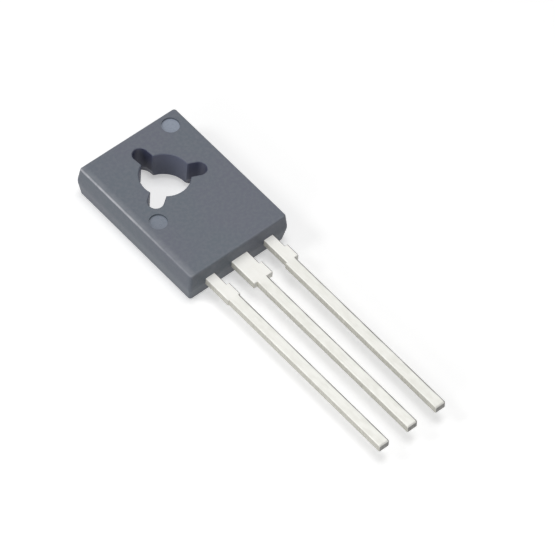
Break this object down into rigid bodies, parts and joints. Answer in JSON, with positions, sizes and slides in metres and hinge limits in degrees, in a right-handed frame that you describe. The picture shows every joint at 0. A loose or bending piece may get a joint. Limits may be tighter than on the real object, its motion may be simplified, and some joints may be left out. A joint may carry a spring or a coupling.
{
  "type": "power transistor",
  "caption": "Flat plastic-cased power transistor with a lobed screw hole, a metal tab in its back face and straight tinned leads, for bolting to a heat sink and soldering to a board.",
  "frame": {"origin": "axis of the screw hole, in the plane of the mounting face", "axes": "+Z out of the front face along the screw hole, -Y along the leads, +X across the leads towards the base lead"},
  "size_m": [0.0078, 0.0264, 0.0024],
  "materials": {
    "moulded_epoxy": "fine matte moulded surface, dark blue-grey",
    "tinned_copper": "matte tin plate over copper sheet",
    "solder": "dull grey solder",
    "silicon": "polished dark grey chip",
    "bond_wire": "bright drawn wire"
  },
  "bodies": {
    "root": {"moulded_body": "moulded_epoxy", "collector_tab_lead": "tinned_copper", "emitter_lead": "tinned_copper", "base_lead": "tinned_copper", "die_solder": "solder", "silicon_die": "silicon", "emitter_wire": "bond_wire", "base_wire": "bond_wire"}
  },
  "joints": []
}
